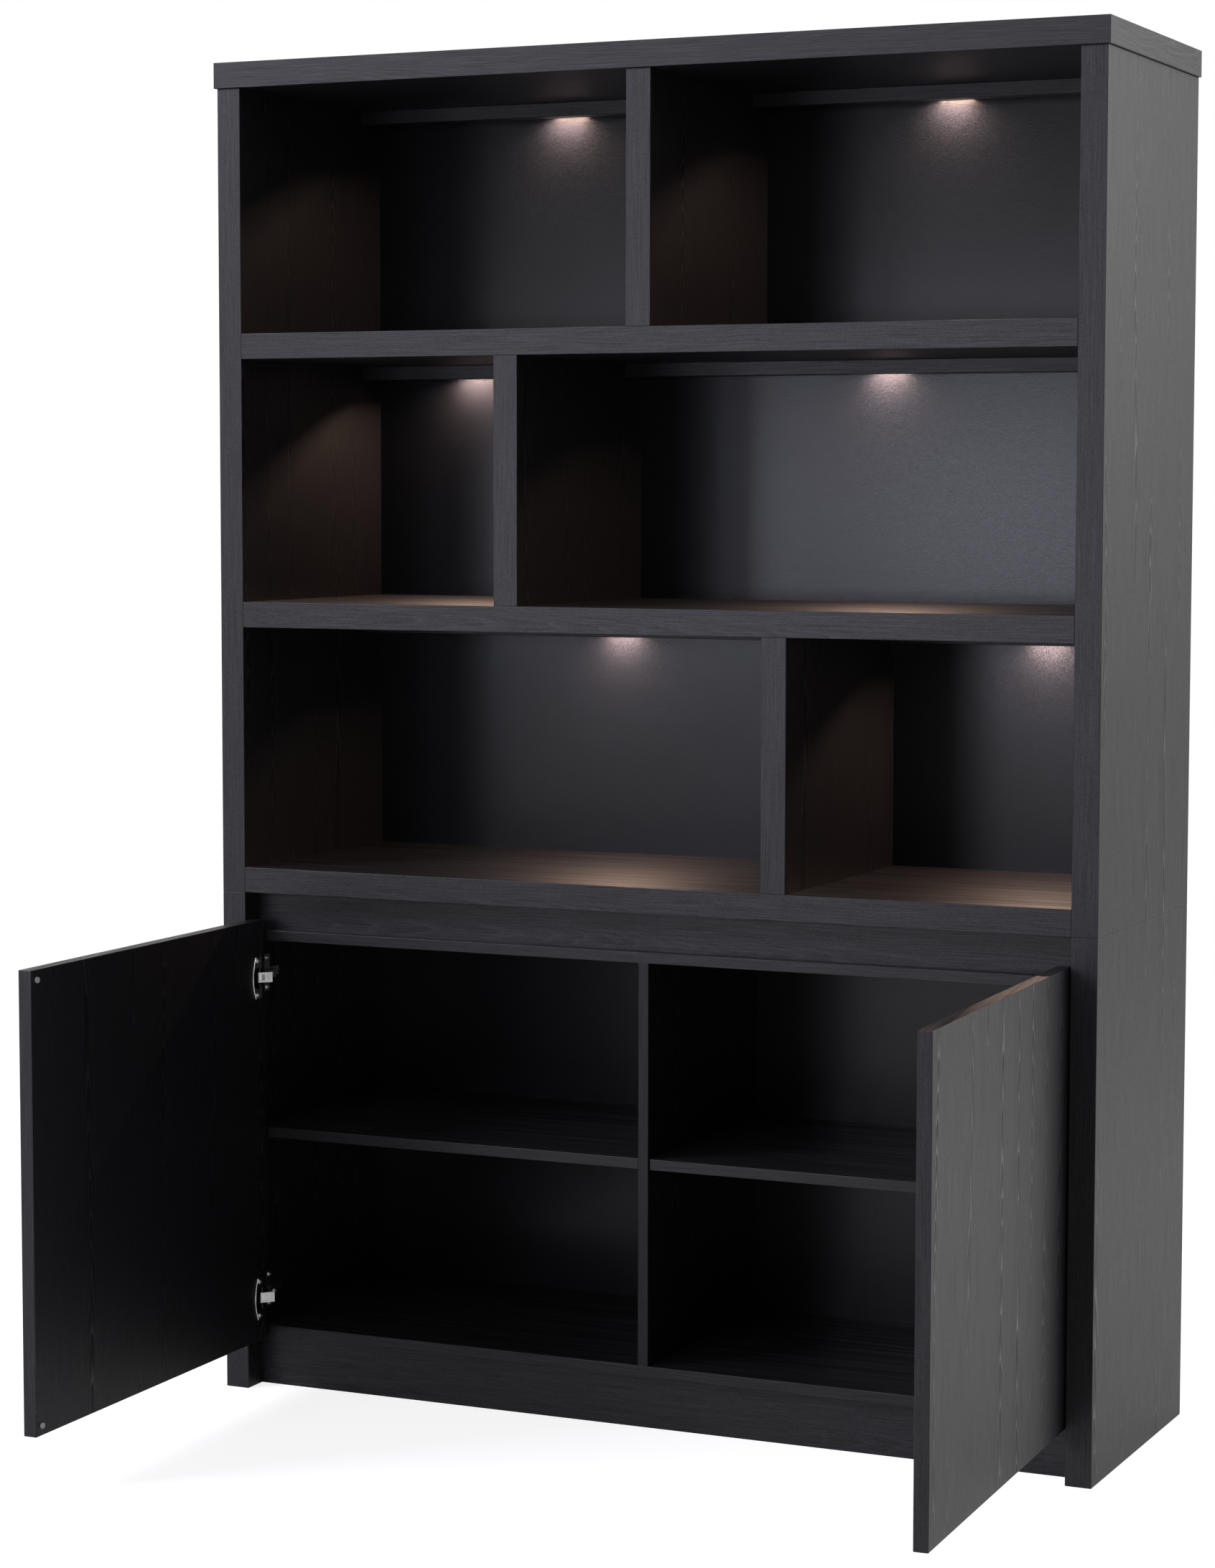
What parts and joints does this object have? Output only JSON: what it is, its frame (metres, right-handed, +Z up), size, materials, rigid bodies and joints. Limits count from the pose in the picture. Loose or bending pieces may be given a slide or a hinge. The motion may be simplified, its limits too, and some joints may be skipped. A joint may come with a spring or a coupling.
{
  "type": "wall unit",
  "caption": "Dark wood-grain wall unit: open shelf case with unequal lit cells above a base cabinet with doors on concealed hinges.",
  "frame": {"origin": "on the floor, on the centre line, in the plane of the unit's rear edges", "axes": "+Z up, +X to the right seen from the front, +Y towards the wall behind"},
  "size_m": [1.38, 1.071, 2],
  "materials": {
    "dark_board": "dark grey-black ash grain, satin",
    "carcass_board": "dark grey-black ash grain, satin",
    "back_panel": "dark mottled lacquer, no grain",
    "beech": "plain turned beech",
    "hinge_nickel": "bright nickel plate",
    "screw_zinc": "bright zinc plate",
    "pin_steel": "bright steel",
    "lamp_metal": "satin aluminium",
    "lamp_lens": "frosted diffuser",
    "driver_plastic": "fine matt texture",
    "bumper_plastic": "soft translucent pad"
  },
  "bodies": {
    "carcass": {"back_panel_screws": "screw_zinc", "base_back_panel": "back_panel", "base_side_left": "dark_board", "base_side_right": "dark_board", "carcass_floor_board": "carcass_board", "carcass_top_board": "carcass_board", "dowels": "beech", "floor_board": "dark_board", "frieze_rail": "dark_board", "hinge_arms": "hinge_nickel", "hinge_clamp_screws": "screw_zinc", "hinge_link_pins": "pin_steel", "hinge_plate_screws": "screw_zinc", "hinge_plates": "hinge_nickel", "lamp_can_row_1_left": "lamp_metal", "lamp_can_row_1_right": "lamp_metal", "lamp_can_row_2_left": "lamp_metal", "lamp_can_row_2_right": "lamp_metal", "lamp_can_row_3_left": "lamp_metal", "lamp_can_row_3_right": "lamp_metal", "lamp_driver": "driver_plastic", "lamp_lens_row_1_left": "lamp_lens", "lamp_lens_row_1_right": "lamp_lens", "lamp_lens_row_2_left": "lamp_lens", "lamp_lens_row_2_right": "lamp_lens", "lamp_lens_row_3_left": "lamp_lens", "lamp_lens_row_3_right": "lamp_lens", "light_board_row_1_left": "dark_board", "light_board_row_1_right": "dark_board", "light_board_row_2_left": "dark_board", "light_board_row_2_right": "dark_board", "light_board_row_3_left": "dark_board", "light_board_row_3_right": "dark_board", "locating_pins": "pin_steel", "loose_shelf_left": "carcass_board", "loose_shelf_right": "carcass_board", "middle_shelf": "dark_board", "partition": "carcass_board", "plinth_front": "dark_board", "plinth_rear": "dark_board", "rear_rail": "carcass_board", "row_1_divider": "dark_board", "row_2_divider": "dark_board", "row_3_divider": "dark_board", "shelf_pins": "pin_steel", "top_board": "dark_board", "upper_back_panel": "back_panel", "upper_shelf": "dark_board", "upper_side_left": "dark_board", "upper_side_right": "dark_board"},
    "left_door": {"left_door": "dark_board", "left_hinge_cups": "hinge_nickel", "left_cup_screws": "screw_zinc", "left_door_bumpers": "bumper_plastic"},
    "left_links": {"left_hinge_links": "hinge_nickel"},
    "right_door": {"right_door": "dark_board", "right_hinge_cups": "hinge_nickel", "right_cup_screws": "screw_zinc", "right_door_bumpers": "bumper_plastic"},
    "right_links": {"right_hinge_links": "hinge_nickel"}
  },
  "joints": [
    {"name": "left_door_hinge", "type": "hinge", "parent": "carcass", "child": "left_door", "pos_m": [-0.63625, -0.43625, 0.3985], "axis": [0, 0, -1], "range_deg": [-89.3, 10.7]},
    {"name": "left_link_pivot", "type": "hinge", "parent": "carcass", "child": "left_links", "pos_m": [-0.616, -0.429, 0.3875], "axis": [0, 0, -1], "range_deg": [-7.03, 58.61]},
    {"name": "right_door_hinge", "type": "hinge", "parent": "carcass", "child": "right_door", "pos_m": [0.63625, -0.43625, 0.3985], "axis": [0, 0, 1], "range_deg": [-92.3, 7.7]},
    {"name": "right_link_pivot", "type": "hinge", "parent": "carcass", "child": "right_links", "pos_m": [0.616, -0.429, 0.3875], "axis": [0, 0, 1], "range_deg": [-5.06, 60.58]}
  ],
  "couplings": [
    {"joint": "left_link_pivot", "follows": "left_door_hinge", "ratio": -0.65624},
    {"joint": "right_link_pivot", "follows": "right_door_hinge", "ratio": -0.65624}
  ]
}
